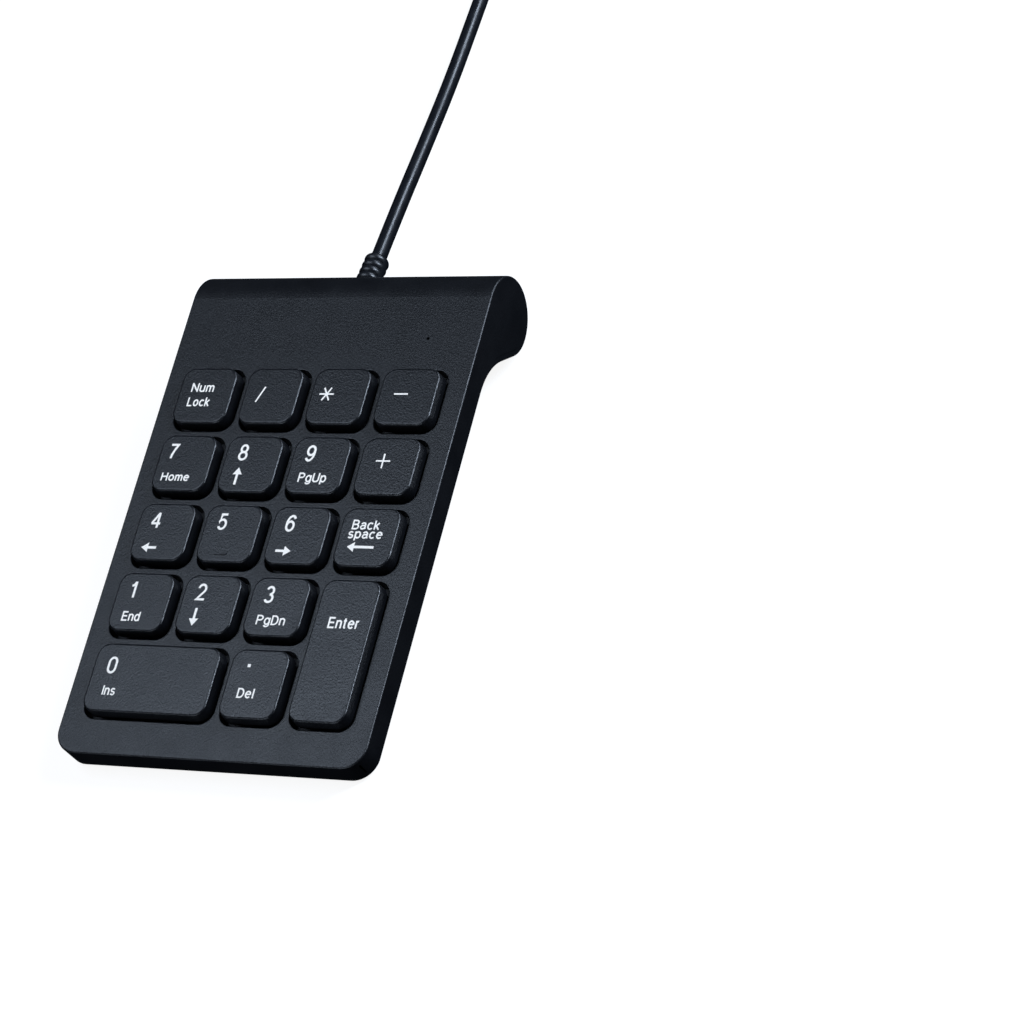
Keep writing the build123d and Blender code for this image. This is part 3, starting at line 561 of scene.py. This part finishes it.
def word_shapes(text, left, base, cap, stroke_width, width=None):
    """Polygons of a word whose ink starts at left and stands on base, all in metres."""
    total = sum(GLYPHS[c][0] for c in text) + LETTER_GAP * (len(text) - 1)
    unit = cap - stroke_width
    across = (width - stroke_width) / total if width else unit
    half = stroke_width / 2
    shapes = []
    pen = left + half
    for character in text:
        advance, strokes = GLYPHS[character]
        for stroke in strokes:
            placed = [(pen + x * across, base + half + y * unit) for x, y in stroke]
            shapes += ribbon(placed, half)
        pen += (advance + LETTER_GAP) * across
    return shapes


SHAFT_OVERLAP = 0.2  # how far an arrow's shaft runs into its head, in stroke widths


def arrow_shapes(tail, tip, stroke_width, head_length, head_width):
    """A shaft and a solid triangular head."""
    tail, tip = Vector(tail), Vector(tip)
    along = (tip - tail).normalized()
    across = Vector((-along.y, along.x))
    neck = tip - along * head_length
    shapes = ribbon([tail, neck + along * stroke_width * SHAFT_OVERLAP], stroke_width / 2)
    shapes.append((tip, neck + across * head_width / 2, neck - across * head_width / 2))
    return shapes


INK = 0.02 * MM  # thickness of the print above the key
INK_ROOT = 0.02 * MM  # and below its surface
MERGE_MM = 1e-5  # corners closer than this are one


def ink_mesh(name, shapes, origin):
    """One clean slab for all the shapes together: their union, triangulated, then given sides."""
    corners = []
    faces = []
    for shape in shapes:
        faces.append(list(range(len(corners), len(corners) + len(shape))))
        corners += [Vector((p[0], p[1])) / MM for p in shape]
    points, _, triangles, _, _, sources = delaunay_2d_cdt(corners, [], faces, 0, MERGE_MM)
    build = bmesh.new()
    low = [
        build.verts.new(origin + DECK_X * p.x * MM + DECK_V * p.y * MM - DECK_N * INK_ROOT)
        for p in points
    ]
    kept = [t for t, source in zip(triangles, sources) if source]
    bottom = [build.faces.new([low[i] for i in t]) for t in kept]
    grown = bmesh.ops.extrude_face_region(build, geom=bottom)
    raised = [v for v in grown["geom"] if isinstance(v, bmesh.types.BMVert)]
    bmesh.ops.translate(build, verts=raised, vec=DECK_N * (INK + INK_ROOT))
    loose = [v for v in build.verts if not v.link_faces]
    bmesh.ops.delete(build, geom=loose, context="VERTS")
    bmesh.ops.recalc_face_normals(build, faces=build.faces)
    mesh = bpy.data.meshes.new(name)
    build.to_mesh(mesh)
    build.free()
    return mesh


DIGIT_CAP = 4.5 * MM
DIGIT_STROKE = 0.60 * MM
DIGIT_LEFT = -4.0 * MM
DIGIT_BASE = 0.85 * MM
ARROW_STROKE = 0.66 * MM
ARROW_HEAD = (1.9 * MM, 2.6 * MM)


def digit(character, left=DIGIT_LEFT):
    return word_shapes(character, left, DIGIT_BASE, DIGIT_CAP, DIGIT_STROKE)


def word(text, width, left=-4.3, base=-5.1, cap=2.6, stroke_width=0.40):
    """A word of a given width. All in millimetres."""
    return word_shapes(text, left * MM, base * MM, cap * MM, stroke_width * MM, width * MM)


def arrow(centre, direction, length, head=ARROW_HEAD):
    middle = Vector(centre)
    half = Vector(direction) * length / 2
    return arrow_shapes(middle - half, middle + half, ARROW_STROKE, *head)


def bars(centre, reach, angles, width=0.42 * MM):
    """Straight strokes through one centre, for plus, minus, times and divide."""
    shapes = []
    for angle in angles:
        half = Vector((cos(radians(angle)), sin(radians(angle)))) * reach
        shapes += ribbon([Vector(centre) - half, Vector(centre) + half], width / 2)
    return shapes


LEFT, RIGHT, UP, DOWN = (-1, 0), (1, 0), (0, 1), (0, -1)
SMALL_ARROW = 4.2 * MM
TALL_ARROW = 4.7 * MM
legends = {
    "num_lock": word("Num", 6.55, base=0.85) + word("Lock", 6.4, base=-3.2),
    "divide": bars((-2.9 * MM, 0.3 * MM), 2.3 * MM, [68]),
    "multiply": bars((-3.2 * MM, 0.5 * MM), 2.0 * MM, [0, 60, 120]),
    "minus": bars((-1.6 * MM, 0.65 * MM), 1.9 * MM, [0]),
    "plus": bars((-1.3 * MM, 1.35 * MM), 1.95 * MM, [0, 90]),
    "7": digit("7", -5.1 * MM) + word("Home", 8.1, left=-5.2, cap=2.35),
    "8": digit("8") + arrow((-2.7 * MM, -3.4 * MM), UP, TALL_ARROW),
    "9": digit("9") + word("PgUp", 7.8, base=-4.75),
    "4": digit("4") + arrow((-2.5 * MM, -4.4 * MM), LEFT, SMALL_ARROW),
    "5": digit("5"),
    "6": digit("6") + arrow((-2.6 * MM, -4.3 * MM), RIGHT, SMALL_ARROW),
    "backspace": word("Back", 7.45, left=-4.65, base=1.9)
    + word("space", 9.3, left=-5.1, base=-0.5)
    + arrow((-0.9 * MM, -2.7 * MM), LEFT, 7.2 * MM),
    "1": digit("1") + word("End", 5.1, left=-4.0, base=-5.3),
    "2": digit("2") + arrow((-2.7 * MM, -3.5 * MM), DOWN, TALL_ARROW),
    "3": digit("3") + word("PgDn", 7.9, base=-4.9),
    "enter": word("Enter", 8.4, left=-3.7, base=5.6, cap=2.95, stroke_width=0.45),
    "0": digit("0", -13.2 * MM) + word("Ins", 3.65, left=-12.55, base=-4.8),
    "decimal": bars((-2.6 * MM, 4.6 * MM), 0.4 * MM, [0], 0.8 * MM)
    + word("Del", 4.6, left=-3.7, base=-3.8),
}


def make_legends():
    ink = printed_ink()
    for name, shapes in legends.items():
        (x_low, x_high), (v_low, v_high), (_, top) = deck_extent("key_" + name)
        if name == "5":  # its homing bar stands above its top face, so the 4 gives the height
            top = deck_extent("key_4")[2][1]
        origin = DECK_X * (x_low + x_high) / 2 + DECK_V * (v_low + v_high) / 2
        origin += DECK_N * (top - origin.dot(DECK_N))
        mesh = ink_mesh("legend_" + name, shapes, origin)
        mesh.materials.append(ink)
        legend = bpy.data.objects.new("legend_" + name, mesh)
        scene.collection.objects.link(legend)
        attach(legend, "key_" + name)


make_legends()

# ---- the end --------------------------------------------------------------------------------
bpy.context.view_layer.update()
